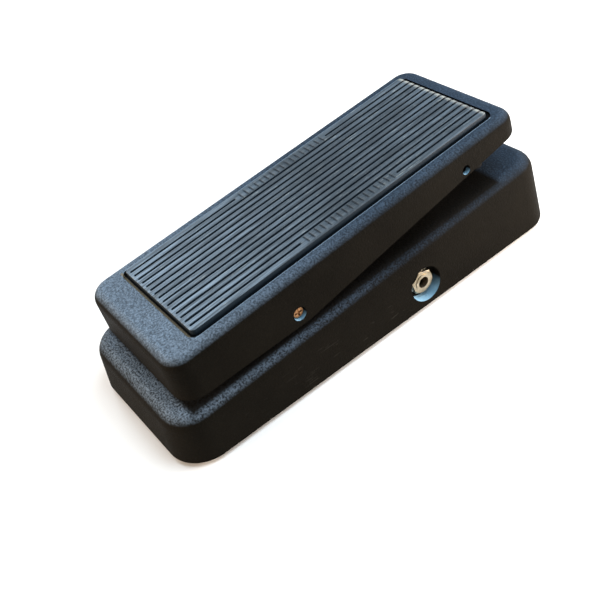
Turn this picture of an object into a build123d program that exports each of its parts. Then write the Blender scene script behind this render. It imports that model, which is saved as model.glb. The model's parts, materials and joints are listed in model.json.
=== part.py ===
from build123d import *
import math
import os

# Rocker volume pedal: a hollow treadle turns on a cross shaft over a hollow base. Millimetres.
# X is to the player's right, Y runs from heel to toe and Z is up.
# The housing frame has Z = 0 at the housing's bottom edge; the treadle frame has its origin on the
# pivot axis, with Y along the treadle's top face.

# ---- Base housing ----
base_length = 252.0
base_width = 102.0
base_heel_height = 26.5
base_toe_height = 40.5
base_corner_radius = 19.5
base_edge_fillet = 8.0
base_draft = 6.0
base_wall = 2.8
plate_thickness = 1.2
plate_gap = 0.5
foot_height = 2.5
foot_radius = 8.0
foot_inset = 14.0
boss_radius = 4.5
small_boss_radius = 3.5
foot_screw_length = 13.2
foot_fillet = 0.8
foot_head_gap = 0.4
foot_hole_stop = 2.0
rack_slot_side_gap = 1.0
rack_slot_heel_gap = 1.8
rack_slot_toe_gap = 1.5

# ---- Treadle ----
treadle_heel_reach = 70.0
treadle_toe_reach = 156.0
treadle_width = 88.5
treadle_top = 20.7
treadle_heel_depth = 3.7
treadle_kink_reach = 3.8
treadle_kink_depth = 7.0
treadle_toe_rise = 9.4
treadle_corner_radius = 12.0
treadle_edge_fillet = 6.0
treadle_draft = 2.5
treadle_wall = 2.6
treadle_ceiling = 2.4
web_thickness = 4.0
cavity_fillet = 1.5

# ---- Tread pad ----
pad_side_margin = 11.0
pad_heel_margin = 21.5
pad_toe_margin = 13.0
pad_corner_radius = 2.5
pad_recess = 1.5
pad_proud = 2.2
pad_gap = 2.4
rib_count = 16
groove_width = 1.1
groove_depth = 1.1
heel_lip = 1.8
panel_start = 20.0
panel_length = 63.0
bar_pitch = 3.5
bar_slot = 0.9
bar_reach = 0.7

# ---- Pivot and travel ----
pivot_y = -43.5
pivot_rise = 10.5
rest_rise = 0.9
toe_down = -7.5
heel_down = 3.5
shaft_radius = 3.0
tower_half_width = 24.0
tower_radius = 7.0
bushing_wall = 1.6
bushing_length = 10.0
flange_thickness = 1.0
flange_lip = 1.6
pivot_boss_wall = 3.2
pivot_head_lip = 0.1
side_hole_gap = 0.6
screw_head_depth = 2.5
screw_head_setback = 1.5
pivot_shank_length = 10.0
shaft_drill_depth = 12.0
pivot_slot_depth = 0.8
tension_radius = 2.5
tension_pad_height = 3.0
tension_head_radius = 4.6
tension_head_height = 2.0
tension_head_gap = 4.0

# ---- Stops ----
bumper_radius = 5.0
bumper_height = 3.0
bumper_seat = 0.8
bumper_fillet = 1.2
bumper_spread = 22.0
toe_stop_margin = 18.0
heel_stop_margin = 10.0
stop_clearance = 0.4

# ---- Rack, pinion and potentiometer ----
pin_reach = 114.6
pin_rise = 8.8
pin_radius = 2.0
pin_half_length = 9.0
pin_access_radius = 2.6
eye_radius = 5.2
rack_width = 6.0
rack_front = 1.6
rack_back = 3.7
rack_floor_gap = 0.6
gear_module = 0.8
gear_teeth = 13
gear_width = 5.0
pressure_angle = 20.0
rack_addendum = 0.6
gear_addendum = 0.8
dedendum = 1.0
flank_relief = 0.05
pot_shaft_radius = 3.0
pot_radius = 8.0
pot_length = 10.0
pot_bushing_radius = 4.0
pot_bushing_length = 6.0
pot_headroom = 0.4
pot_fillet = 0.8
pot_shaft_end_gap = 0.3
pot_washer_radius = 6.2
pot_washer_height = 0.6
pot_nut_radius = 5.8
pot_nut_height = 2.0
bracket_thickness = 1.5
bracket_offset = 12.5
bracket_heel_reach = 25.4
bracket_toe_reach = 29.6
bracket_flange = 9.0
bracket_drop = 9.0
bracket_boss_depth = 4.0
bracket_screw_length = 6.5
ear_thickness = 3.0
ear_gap = 1.0
ear_radius = 4.0
ear_half_length = 5.0
ear_drop = 1.0
pin_chamfer = 0.3
eye_play = 0.25
eye_slot_reach = 1.2
clip_thickness = 0.8
clip_wall = 1.6
clip_mouth_half = 0.9
hub_length = 3.2
flank_steps = 4
grub_radius = 0.8
terminal_drop = 2.0
terminal_length = 4.0
terminal_pitch = 4.0
terminal_block_half = 7.0
terminal_half_width = 1.0
terminal_half_thickness = 0.3
guide_wall = 3.5
guide_depth = 8.0
guide_screw_back = 5.0
guide_screw_low = 5.0
guide_screw_high = 3.0
guide_screw_length = 9.0
guide_hole_end = 4.0
guide_rise = 6.0
guide_overlap = 0.5

# ---- Jacks for a 6.35 mm plug ----
jack_setback = 33.4
jack_rim = 1.6
jack_recess_radius = 9.8
jack_recess_depth = 5.6
jack_cup_wall = 2.4
jack_floor = 2.5
jack_bushing_radius = 4.76
jack_bore_radius = 3.25
jack_nut_flats = 12.7
jack_nut_height = 2.4
jack_washer_height = 0.8
jack_washer_radius = 7.2
jack_bushing_proud = 0.4
jack_nut_turn = 12.0
jack_nut_slope = 1.7
jack_flange = 1.5
jack_leg_length = 18.0
jack_leg_width = 10.0
jack_leg_thickness = 1.2
contact_length = 18.0
contact_width = 4.0
contact_thickness = 0.5
contact_gap = 0.25
jack_leg_rise = 7.3
insulator_length = 6.0
insulator_width = 8.0
leg_solder_inset = 2.6

# ---- Fasteners, wires and fits ----
small_screw_radius = 1.5
screw_head_radius = 3.0
screw_head_height = 1.3
screw_head_fillet = 0.5
screw_slot_share = 1.2
screw_slot_depth = 0.7
pivot_slot_share = 1.3
pivot_head_fillet = 0.4
wire_radius = 0.65
slide_clearance = 0.12
running_clearance = 0.05
press_clearance = 0.02
free_clearance = 0.3

# ---- Places that follow from the sizes ----
base_slope = (base_toe_height - base_heel_height) / base_length
base_slope_angle = math.degrees(math.atan(base_slope))
plate_top = plate_thickness
foot_places = [(sx * (base_width / 2 - foot_inset), sy * (base_length / 2 - foot_inset))
               for sx in (-1, 1) for sy in (-1, 1)]


def base_top(y):
    """Height of the housing's sloped top face at y."""
    return base_heel_height + base_slope * (y + base_length / 2)


pivot_height = base_top(pivot_y) + pivot_rise
rest_tilt = base_slope_angle + rest_rise
tilt = math.radians(rest_tilt)
pin_y = pivot_y + pin_reach * math.cos(tilt) - pin_rise * math.sin(tilt)
pin_z = pivot_height + pin_reach * math.sin(tilt) + pin_rise * math.cos(tilt)
flange_radius = shaft_radius + bushing_wall + flange_lip
pivot_boss_radius = shaft_radius + pivot_boss_wall
pivot_head_radius = shaft_radius + pivot_head_lip
side_hole_radius = pivot_head_radius + side_hole_gap
pitch_radius = gear_module * gear_teeth / 2
tooth_pitch = math.pi * gear_module
rack_root_y = pin_y - rack_front
rack_pitch_y = rack_root_y - dedendum
gear_y = rack_pitch_y - pitch_radius
jack_y = gear_y - jack_setback
bracket_heel_y = gear_y - bracket_heel_reach
bracket_toe_y = gear_y + bracket_toe_reach
pad_width = treadle_width - 2 * pad_side_margin
pad_heel_reach = treadle_heel_reach - pad_heel_margin
pad_toe_reach = treadle_toe_reach - pad_toe_margin
pad_length = pad_heel_reach + pad_toe_reach
pad_centre = (pad_toe_reach - pad_heel_reach) / 2
pad_thickness = pad_recess + pad_proud
rib_pitch = pad_width / rib_count
treadle_length = treadle_heel_reach + treadle_toe_reach
treadle_centre = (treadle_toe_reach - treadle_heel_reach) / 2
treadle_inner_top = treadle_top - pad_recess - treadle_ceiling
toe_stop_reach = treadle_toe_reach - toe_stop_margin
heel_stop_reach = heel_stop_margin - treadle_heel_reach
jack_height = plate_top + jack_rim + jack_recess_radius
jack_face_x = base_width / 2 - jack_height * math.tan(math.radians(base_draft)) - jack_recess_depth
gear_z = base_top(gear_y - pot_radius) - base_wall - pot_radius - pot_headroom
flange_z = base_top(bracket_heel_y) - base_wall - bracket_boss_depth


def box(x0, x1, y0, y1, z0, z1):
    """Box between two corners."""
    return Pos((x0 + x1) / 2, (y0 + y1) / 2, (z0 + z1) / 2) * Box(x1 - x0, y1 - y0, z1 - z0)


def rod_x(x0, x1, y, z, radius):
    """Cylinder along X from x0 to x1."""
    return Pos((x0 + x1) / 2, y, z) * Rot(Y=90) * Cylinder(radius, x1 - x0)


def rod_z(x, y, z0, z1, radius):
    """Cylinder along Z from z0 to z1."""
    return Pos(x, y, (z0 + z1) / 2) * Cylinder(radius, z1 - z0)


def side_profile(points, half_width):
    """Prism across X whose outline in the YZ plane is given."""
    face = make_face(Plane.YZ * Polyline(*points, close=True))
    return extrude(face, half_width, both=True)


def in_treadle(shape):
    """Moves a shape from the treadle frame to the housing frame at rest."""
    return Pos(0, pivot_y, pivot_height) * Rot(X=rest_tilt) * shape


def on_base_top(x, y):
    """Location on the housing's top face, square to the slope."""
    return Pos(x, y, base_top(y)) * Rot(X=base_slope_angle)


def mirror_to(shape, side):
    """Leaves a right-hand shape as it is, or mirrors it to the left."""
    return shape if side > 0 else mirror(shape, Plane.YZ)


def base_body(inset):
    """Solid with the housing's outline, moved inwards by inset on the sides and the top."""
    outline = RectangleRounded(base_width - 2 * inset, base_length - 2 * inset, base_corner_radius - inset)
    block = extrude(outline, base_toe_height + 1, taper=base_draft)
    reach = base_length
    below = side_profile([(-reach, -1), (reach, -1), (reach, base_top(reach) - inset),
                          (-reach, base_top(-reach) - inset)], base_width)
    solid = block & below
    top = solid.faces().sort_by(Axis.Z)[-1]
    return fillet(top.edges(), base_edge_fillet - inset)


def jack_cup(side):
    """Solid cup around a jack recess, cut off above the bottom plate."""
    cup = rod_x(jack_face_x - jack_floor, base_width / 2, jack_y, jack_height,
                jack_recess_radius + jack_cup_wall)
    keep = box(0, base_width, -base_length, base_length, plate_top + free_clearance, base_toe_height)
    return mirror_to(cup & keep, side)


def pivot_tower():
    """Block on the housing that carries the pivot bushings."""
    low = base_top(pivot_y) - base_wall
    stem = box(-tower_half_width, tower_half_width, pivot_y - tower_radius, pivot_y + tower_radius,
               low, pivot_height)
    return stem + rod_x(-tower_half_width, tower_half_width, pivot_y, pivot_height, tower_radius)


def base_housing():
    """Die-cast shell, open below, with the pivot tower, jack cups, bosses and rack slot."""
    outer = base_body(0)
    cavity = base_body(base_wall)
    mouth = extrude(RectangleRounded(base_width - 2 * base_wall, base_length - 2 * base_wall,
                                     base_corner_radius - base_wall), -1)
    bosses = Part()
    for x, y in foot_places:
        bosses += rod_z(x, y, plate_top, base_top(y), boss_radius)
    for x, y in bracket_screw_places():
        bosses += rod_z(x, y, flange_z, base_top(y), small_boss_radius)
    cups = jack_cup(1) + jack_cup(-1)
    shell = outer - cavity - mouth + ((bosses + cups) & outer) + pivot_tower()
    for side in (1, -1):
        shell -= mirror_to(rod_x(jack_face_x, base_width, jack_y, jack_height, jack_recess_radius), side)
        shell -= mirror_to(rod_x(0, jack_face_x + 1, jack_y, jack_height,
                                 jack_bushing_radius + running_clearance), side)
        seat_end = tower_half_width - bushing_length
        shell -= mirror_to(rod_x(seat_end, tower_half_width + 1, pivot_y, pivot_height,
                                 shaft_radius + bushing_wall + press_clearance), side)
    shell -= rod_x(-tower_half_width, tower_half_width, pivot_y, pivot_height, shaft_radius + free_clearance)
    shell -= rod_z(0, pivot_y, 0, pivot_height, tension_radius + running_clearance)
    for x, y in foot_places:
        shell -= rod_z(x, y, 0, base_top(y) - base_wall - foot_hole_stop,
                       small_screw_radius + press_clearance)
    for x, y in bracket_screw_places():
        shell -= rod_z(x, y, 0, base_top(y) - base_wall, small_screw_radius + press_clearance)
    slot_side = rack_width / 2 + rack_slot_side_gap
    shell -= box(-slot_side, slot_side, rack_pitch_y - rack_slot_heel_gap,
                 pin_y + rack_back + rack_slot_toe_gap, base_toe_height / 2, 2 * base_toe_height)
    for place in bumper_places():
        shell -= place * Cylinder(bumper_radius + running_clearance, 2 * bumper_seat)
    return shell


def bracket_screw_places():
    """Centres of the two screws that hold the potentiometer bracket."""
    x = -bracket_offset - bracket_thickness - bracket_flange / 2
    return [(x, bracket_heel_y + bracket_flange / 2), (x, bracket_toe_y - bracket_flange / 2)]


def bottom_plate():
    """Steel plate that closes the housing from below."""
    inset = base_wall + plate_gap
    sheet = extrude(RectangleRounded(base_width - 2 * inset, base_length - 2 * inset,
                                     base_corner_radius - inset), plate_thickness)
    for x, y in foot_places:
        sheet -= rod_z(x, y, -1, plate_thickness + 1, small_screw_radius + free_clearance)
    return sheet


def rubber_feet():
    """Four round feet with a counterbore for the screw head."""
    feet = []
    for x, y in foot_places:
        foot = Pos(x, y, -foot_height) * extrude(Circle(foot_radius), foot_height)
        foot = fillet(foot.edges().sort_by(Axis.Z)[0], foot_fillet)
        foot -= rod_z(x, y, -foot_height - 1, 1, small_screw_radius + free_clearance)
        foot -= rod_z(x, y, -foot_height - 1, -foot_height + screw_head_height + foot_head_gap,
                      screw_head_radius + free_clearance)
        feet.append(foot)
    return Compound(feet)


def cross_slot(width, depth):
    """Cross-shaped cutter for a screw head, centred on the origin and going down."""
    return Pos(0, 0, -depth / 2) * (Box(width, width / 4, depth) + Box(width / 4, width, depth))


def pan_screw(length, head_radius=screw_head_radius, shank_radius=small_screw_radius):
    """Screw along +Z: the head's outer face is at Z = 0 and its shank ends at Z = length."""
    head = extrude(Circle(head_radius), screw_head_height)
    head = fillet(head.edges().sort_by(Axis.Z)[0], screw_head_fillet)
    shank = Pos(0, 0, screw_head_height) * extrude(Circle(shank_radius), length - screw_head_height)
    slot = Rot(X=180) * cross_slot(head_radius * screw_slot_share, screw_slot_depth)
    return head + shank - slot


def foot_screws():
    """Screws through the feet and the plate into the housing's bosses."""
    head_z = foot_head_gap - foot_height
    return Compound([Pos(x, y, head_z) * pan_screw(foot_screw_length) for x, y in foot_places])


def pivot_bushings():
    """Flanged nylon bushings at both ends of the tower."""
    parts = []
    for side in (1, -1):
        sleeve = rod_x(tower_half_width - bushing_length, tower_half_width, pivot_y, pivot_height,
                       shaft_radius + bushing_wall)
        flange = rod_x(tower_half_width, tower_half_width + flange_thickness, pivot_y, pivot_height,
                       flange_radius)
        bore = rod_x(0, base_width, pivot_y, pivot_height, shaft_radius + running_clearance)
        parts.append(mirror_to(sleeve + flange - bore, side))
    return Compound(parts)


def tension_parts():
    """Screw and nylon pad that press on the pivot shaft from below."""
    pad_top = pivot_height - shaft_radius - running_clearance
    pad_low = pad_top - tension_pad_height
    pad = rod_z(0, pivot_y, pad_low, pad_top, tension_radius)
    head_z = base_top(pivot_y) - base_wall - tension_head_gap
    body = rod_z(0, pivot_y, head_z, pad_low, tension_radius)
    head = Pos(0, pivot_y, head_z) * extrude(RegularPolygon(tension_head_radius, 6), -tension_head_height)
    return body + head, pad


def bumper_places():
    """Locations of the heel and toe bumpers on the housing's top face."""
    places = []
    for reach, limit in ((heel_stop_reach, heel_down), (toe_stop_reach, toe_down)):
        y = pivot_y + reach * math.cos(math.radians(rest_tilt + limit))
        places += [on_base_top(side * bumper_spread, y) for side in (-1, 1)]
    return places


def bumpers(places):
    """Rubber buttons seated in the housing's top."""
    parts = []
    for place in places:
        button = Pos(0, 0, -bumper_seat) * extrude(Circle(bumper_radius), bumper_seat + bumper_height)
        parts.append(place * fillet(button.edges().sort_by(Axis.Z)[-1], bumper_fillet))
    return Compound(parts)


def web_bottom(reach, limit):
    """Height in the treadle frame of a stop web's lower face, just clear of its bumper at the limit."""
    angle = math.radians(rest_tilt + limit)
    stop = base_top(pivot_y + reach * math.cos(angle)) + bumper_height + stop_clearance
    rise = stop - pivot_height - reach * math.sin(angle)
    return rise / (math.cos(angle) + base_slope * math.sin(angle))


def treadle_envelope():
    """Outer form of the treadle: drafted sides, filleted top edge and V-shaped lower edge."""
    outline = Pos(0, treadle_centre, -treadle_kink_depth) * RectangleRounded(
        treadle_width, treadle_length, treadle_corner_radius)
    block = extrude(outline, treadle_top + treadle_kink_depth, taper=treadle_draft)
    block = fillet(block.faces().sort_by(Axis.Z)[-1].edges(), treadle_edge_fillet)
    return block & above_lower_edge(0)


def above_lower_edge(raise_by):
    """Everything above the treadle's lower edge, raised by a margin."""
    heel, toe = -treadle_heel_reach, treadle_toe_reach
    return side_profile([(heel, -treadle_heel_depth + raise_by),
                         (treadle_kink_reach, -treadle_kink_depth + raise_by),
                         (toe, treadle_toe_rise + raise_by), (toe, treadle_top + 1),
                         (heel, treadle_top + 1)], treadle_width)


def treadle_shell():
    """Die-cast rocker, open below, with a recess for the pad, stop webs, pin ears and pivot bosses."""
    outer = treadle_envelope()
    inner = Pos(0, treadle_centre, -treadle_kink_depth) * RectangleRounded(
        treadle_width - 2 * treadle_wall, treadle_length - 2 * treadle_wall,
        treadle_corner_radius - treadle_wall)
    cavity = extrude(inner, treadle_inner_top + treadle_kink_depth, taper=treadle_draft)
    cavity = fillet(cavity.faces().sort_by(Axis.Z)[-1].edges(), cavity_fillet)
    recess = Pos(0, pad_centre, treadle_top - pad_recess) * extrude(
        RectangleRounded(pad_width + 2 * pad_gap, pad_length + 2 * pad_gap,
                         pad_corner_radius + pad_gap), pad_recess + 1)
    inside = Part()
    half = treadle_width / 2
    for reach, limit in ((heel_stop_reach, heel_down), (toe_stop_reach, toe_down)):
        inside += box(-half, half, reach - web_thickness / 2, reach + web_thickness / 2,
                      web_bottom(reach, limit), treadle_inner_top + 1)
    ear_near = rack_width / 2 + ear_gap
    for side in (1, -1):
        ear = box(ear_near, ear_near + ear_thickness, pin_reach - ear_half_length,
                  pin_reach + ear_half_length, pin_rise - ear_drop, treadle_inner_top + 1)
        ear += rod_x(ear_near, ear_near + ear_thickness, pin_reach, pin_rise, ear_radius)
        boss = rod_x(tower_half_width + flange_thickness + free_clearance, half, 0, 0, pivot_boss_radius)
        inside += mirror_to(ear + boss, side)
    shell = outer - cavity - recess + (inside & outer)
    shell -= rod_x(-half, half, 0, 0, shaft_radius + press_clearance)
    shell -= rod_x(-half / 2, half / 2, pin_reach, pin_rise, pin_radius + press_clearance)
    for side in (1, -1):
        shell -= mirror_to(rod_x(pivot_head_x(), half + 1, 0, 0, side_hole_radius), side)
        shell -= mirror_to(rod_x(half / 2, half + 1, pin_reach, pin_rise, pin_access_radius), side)
    return in_treadle(shell)


def pivot_head_x():
    """X of the inner face of a pivot screw's head."""
    wall_x = treadle_width / 2 - treadle_kink_depth * math.tan(math.radians(treadle_draft))
    return wall_x - screw_head_setback - screw_head_depth


def tread_pad():
    """Ribbed rubber pad with two panels of short cross bars in place of the outer ribs."""
    low = treadle_top - pad_recess
    pad = Pos(0, pad_centre, low) * extrude(RectangleRounded(pad_width, pad_length, pad_corner_radius),
                                            pad_thickness)
    top = treadle_top + pad_proud
    heel = -pad_heel_reach + heel_lip
    cut = Part()
    for i in range(1, rib_count):
        x = -pad_width / 2 + i * rib_pitch
        spans = [(heel, pad_toe_reach + 1)]
        if i in (1, rib_count - 1):
            spans = [(heel, panel_start), (panel_start + panel_length, pad_toe_reach + 1)]
        for y0, y1 in spans:
            cut += box(x - groove_width / 2, x + groove_width / 2, y0, y1, top - groove_depth, top + 1)
    for i in range(1, int(panel_length / bar_pitch)):
        y = panel_start + i * bar_pitch
        for side in (1, -1):
            mid = side * (pad_width / 2 - rib_pitch)
            half = rib_pitch * bar_reach
            cut += box(mid - half, mid + half, y - bar_slot / 2, y + bar_slot / 2,
                       top - groove_depth / 2, top + 1)
    return in_treadle(pad - cut)


def pivot_shaft():
    """Steel shaft across the treadle, drilled for the screws in its ends."""
    end = pivot_head_x()
    shaft = rod_x(-end, end, 0, 0, shaft_radius)
    for side in (1, -1):
        drill = rod_x(end - shaft_drill_depth, end, 0, 0, small_screw_radius + press_clearance)
        shaft -= mirror_to(drill, side)
    return in_treadle(shaft)


def pivot_screws():
    """Brass cross-headed screws in the treadle's side holes."""
    parts = []
    end = pivot_head_x()
    for side in (1, -1):
        head = rod_x(end, end + screw_head_depth, 0, 0, pivot_head_radius)
        head = fillet(head.edges().sort_by(Axis.X)[-1], pivot_head_fillet)
        shank = rod_x(end - pivot_shank_length, end, 0, 0, small_screw_radius)
        slot = Pos(end + screw_head_depth, 0, 0) * Rot(Y=90) * cross_slot(
            pivot_head_radius * pivot_slot_share, pivot_slot_depth)
        parts.append(in_treadle(mirror_to(head + shank - slot, side)))
    return Compound(parts)


def rack_pin():
    """Steel pin through the treadle's ears and the rack's eye."""
    pin = rod_x(-pin_half_length, pin_half_length, pin_reach, pin_rise, pin_radius)
    ends = pin.edges().group_by(Axis.X)[0] + pin.edges().group_by(Axis.X)[-1]
    return in_treadle(chamfer(ends, pin_chamfer))


def rack_pin_clips():
    """Retaining rings on the pin, outside the ears."""
    near = rack_width / 2 + ear_gap + ear_thickness + slide_clearance
    ring = rod_x(near, near + clip_thickness, pin_reach, pin_rise, pin_radius + clip_wall)
    ring -= rod_x(near - 1, near + 2, pin_reach, pin_rise, pin_radius + press_clearance)
    gap = box(near - 1, near + 2, pin_reach - clip_mouth_half, pin_reach + clip_mouth_half,
              pin_rise - 2 * pin_radius - clip_wall, pin_rise)
    return Compound([in_treadle(mirror_to(ring - gap, side)) for side in (1, -1)])


def rack_low_z():
    """Lower end of the rack at rest, so that it stays above the plate with the toe down."""
    travel = pin_reach * math.radians(-toe_down)
    return plate_top + rack_floor_gap + travel


def toothed_rack():
    """Nylon rack with a slotted eye for the pin and teeth towards the heel."""
    half = rack_width / 2
    low = rack_low_z()
    bar = box(-half, half, rack_root_y, pin_y + rack_back, low, pin_z)
    eye = rod_x(-half, half, pin_y, pin_z, eye_radius)
    slope = math.tan(math.radians(pressure_angle))
    centre_width = tooth_pitch / 2 - 2 * flank_relief
    root = centre_width / 2 + dedendum * slope
    tip = centre_width / 2 - rack_addendum * slope
    tip_y = rack_pitch_y - rack_addendum
    rack = bar + eye
    first = math.ceil((low + root - gear_z) / tooth_pitch - 0.5)
    last = math.floor((pin_z - eye_radius - root - gear_z) / tooth_pitch - 0.5)
    for i in range(first, last):
        z = gear_z + (i + 0.5) * tooth_pitch
        rack += side_profile([(rack_root_y + 0.2, z - root), (tip_y, z - tip), (tip_y, z + tip),
                              (rack_root_y + 0.2, z + root)], half)
    play = pin_radius + eye_play
    near, far = pin_y - eye_slot_reach, pin_y + eye_slot_reach
    slot = rod_x(-half - 1, half + 1, near, pin_z, play) + rod_x(-half - 1, half + 1, far, pin_z, play)
    slot += box(-half - 1, half + 1, near, far, pin_z - play, pin_z + play)
    return rack - slot


def involute(angle):
    """Polar angle of an involute at a pressure angle, in radians."""
    return math.tan(angle) - angle


def gear_outline():
    """Closed outline of the pinion, with one tooth centred on the first axis."""
    base_radius = pitch_radius * math.cos(math.radians(pressure_angle))
    outer = pitch_radius + gear_addendum
    root = pitch_radius - dedendum
    half_tooth = math.pi / (2 * gear_teeth) - flank_relief / pitch_radius
    zero = half_tooth + involute(math.radians(pressure_angle))
    flank = [(root, zero)]
    for i in range(flank_steps + 1):
        r = base_radius + (outer - base_radius) * i / flank_steps
        flank.append((r, zero - involute(math.acos(base_radius / r))))
    points = []
    for t in range(gear_teeth):
        mid = 2 * math.pi * t / gear_teeth
        for r, a in [(r, -a) for r, a in flank] + flank[::-1]:
            points.append((r * math.cos(mid + a), r * math.sin(mid + a)))
    return make_face(Polyline(*points, close=True))


def pinion_gear():
    """Brass pinion with a hub, meshed with the rack."""
    half = gear_width / 2
    teeth = Pos(0, gear_y, gear_z) * extrude(Plane.YZ * gear_outline(), half, both=True)
    gear = teeth + rod_x(-half - hub_length, -half, gear_y, gear_z, pitch_radius - dedendum)
    gear -= rod_x(-20, 20, gear_y, gear_z, pot_shaft_radius + press_clearance)
    return gear - rod_z(-half - hub_length / 2, gear_y, gear_z, gear_z + pitch_radius, grub_radius)


def pinion_grub_screw():
    """Grub screw that holds the pinion on the pot's shaft."""
    x = -gear_width / 2 - hub_length / 2
    return rod_z(x, gear_y, gear_z + pot_shaft_radius + press_clearance, gear_z + pitch_radius - dedendum,
                 grub_radius - press_clearance)


def pot_shaft():
    """Potentiometer shaft, which turns with the pinion."""
    start = -bracket_offset - bracket_thickness - pot_length / 2
    return rod_x(start, gear_width / 2, gear_y, gear_z, pot_shaft_radius)


def pot_body():
    """Potentiometer can with its threaded bushing and terminal block."""
    face = -bracket_offset - bracket_thickness
    can = rod_x(face - pot_length, face, gear_y, gear_z, pot_radius)
    can = fillet(can.edges().sort_by(Axis.X)[0], pot_fillet)
    block = box(face - 2 * terminal_drop, face, gear_y - terminal_block_half, gear_y + terminal_block_half,
                gear_z - pot_radius - terminal_drop, gear_z)
    bushing = rod_x(face, face + pot_bushing_length, gear_y, gear_z, pot_bushing_radius)
    bore = rod_x(face - pot_length / 2 - pot_shaft_end_gap, 0, gear_y, gear_z,
                 pot_shaft_radius + running_clearance)
    return can + block + bushing - bore


def pot_terminals():
    """Three solder lugs under the terminal block."""
    x = terminal_x()
    top = gear_z - pot_radius - terminal_drop
    return Compound([box(x - terminal_half_thickness, x + terminal_half_thickness,
                         y - terminal_half_width, y + terminal_half_width, terminal_end(), top)
                     for y in terminal_rows()])


def terminal_x():
    """X of the terminals' mid plane."""
    return -bracket_offset - bracket_thickness - terminal_drop


def terminal_end():
    """Lower end of the terminals."""
    return gear_z - pot_radius - terminal_drop - terminal_length


def terminal_rows():
    """Y of the input, wiper and ground terminals."""
    return [gear_y - terminal_pitch, gear_y, gear_y + terminal_pitch]


def pot_fixings():
    """Washer and hex nut on the potentiometer's bushing."""
    x = -bracket_offset
    hole = rod_x(x - 1, 0, gear_y, gear_z, pot_bushing_radius + press_clearance)
    washer = rod_x(x, x + pot_washer_height, gear_y, gear_z, pot_washer_radius) - hole
    nut_place = Pos(x + pot_washer_height, gear_y, gear_z) * Rot(Y=90)
    nut = nut_place * extrude(RegularPolygon(pot_nut_radius, 6), pot_nut_height) - hole
    return washer, nut


def pot_bracket():
    """Folded steel bracket: a plate for the potentiometer with a flange at each end."""
    inner = -bracket_offset - bracket_thickness
    low = gear_z - bracket_drop
    plate = box(inner, -bracket_offset, bracket_heel_y, bracket_toe_y, low, flange_z)
    for x, y in bracket_screw_places():
        flange = box(inner - bracket_flange, inner, y - bracket_flange / 2, y + bracket_flange / 2,
                     flange_z - bracket_thickness, flange_z)
        plate += flange - rod_z(x, y, 0, flange_z + 1, small_screw_radius + free_clearance)
    plate -= rod_x(-base_width, 0, gear_y, gear_z, pot_bushing_radius + press_clearance)
    for y, z in guide_screw_places():
        plate -= rod_x(-base_width, 0, y, z, small_screw_radius + free_clearance)
    return plate


def bracket_screws():
    """Screws up through the bracket's flanges."""
    z = flange_z - bracket_thickness - screw_head_height
    return Compound([Pos(x, y, z) * pan_screw(bracket_screw_length) for x, y in bracket_screw_places()])


def guide_screw_places():
    """Y and Z of the two screws that hold the rack guide."""
    y = pin_y + rack_back + guide_screw_back
    return [(y, gear_z - guide_screw_low), (y, gear_z + guide_screw_high)]


def rack_guide():
    """Nylon guide behind and beside the rack, which keeps it in mesh."""
    half = rack_width / 2 + slide_clearance
    back = pin_y + rack_back + slide_clearance
    low, high = gear_z - bracket_drop, gear_z + guide_rise
    block = box(-bracket_offset, half + guide_wall, back, back + guide_depth, low, high)
    for side in (1, -1):
        block += mirror_to(box(half, half + guide_wall, pin_y - guide_overlap, back + 1, low, high), side)
    for y, z in guide_screw_places():
        block -= rod_x(-bracket_offset - 1, -guide_hole_end, y, z, small_screw_radius + press_clearance)
    return block


def guide_screws():
    """Screws through the bracket into the rack guide."""
    x = -bracket_offset - bracket_thickness - screw_head_height
    screw = Rot(Y=90) * pan_screw(guide_screw_length)
    return Compound([Pos(x, y, z) * screw for y, z in guide_screw_places()])


def jack_parts(side):
    """Frame, insulator, contact, washer and nut of one jack."""
    face = jack_face_x
    inner = face - jack_floor
    tip = face + jack_washer_height + jack_nut_height + jack_bushing_proud
    leg_low = jack_height + jack_leg_rise
    leg_end = inner - jack_flange - jack_leg_length
    bushing = rod_x(inner, tip, jack_y, jack_height, jack_bushing_radius)
    flange = rod_x(inner - jack_flange, inner, jack_y, jack_height, jack_leg_rise + jack_leg_thickness)
    leg = box(leg_end, inner - jack_flange, jack_y - jack_leg_width / 2, jack_y + jack_leg_width / 2,
              leg_low, leg_low + jack_leg_thickness)
    bore = rod_x(0, base_width, jack_y, jack_height, jack_bore_radius)
    frame = bushing + flange + leg - bore
    strip_low = jack_height + jack_bore_radius + contact_gap
    contact_start = leg_end + insulator_length
    insulator = box(leg_end, contact_start, jack_y - insulator_width / 2, jack_y + insulator_width / 2,
                    strip_low + contact_thickness, leg_low)
    contact = box(contact_start - contact_length, contact_start, jack_y - contact_width / 2,
                  jack_y + contact_width / 2, strip_low, strip_low + contact_thickness)
    hole = rod_x(0, base_width, jack_y, jack_height, jack_bushing_radius + press_clearance)
    washer = rod_x(face, face + jack_washer_height, jack_y, jack_height, jack_washer_radius) - hole
    nut_place = Pos(face + jack_washer_height, jack_y, jack_height) * Rot(Y=90) * Rot(Z=jack_nut_turn)
    nut = nut_place * extrude(RegularPolygon(jack_nut_flats / 2, 6, major_radius=False), jack_nut_height)
    cone = nut_place * Pos(0, 0, jack_nut_height / 2) * Cone(
        jack_nut_flats / 2 + jack_nut_height * jack_nut_slope, jack_nut_flats / 2, jack_nut_height)
    nut = (nut & cone) - hole
    return [mirror_to(s, side) for s in (frame, insulator, contact, washer, nut)]


def leg_height():
    """Height of the mid plane of a jack frame's leg."""
    return jack_height + jack_leg_rise + jack_leg_thickness / 2


def leg_end_x():
    """X of the inner end of the right-hand jack's leg."""
    return jack_face_x - jack_floor - jack_flange - jack_leg_length


def contact_end_x():
    """X of the inner end of the right-hand jack's contact."""
    return leg_end_x() + insulator_length - contact_length


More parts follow.
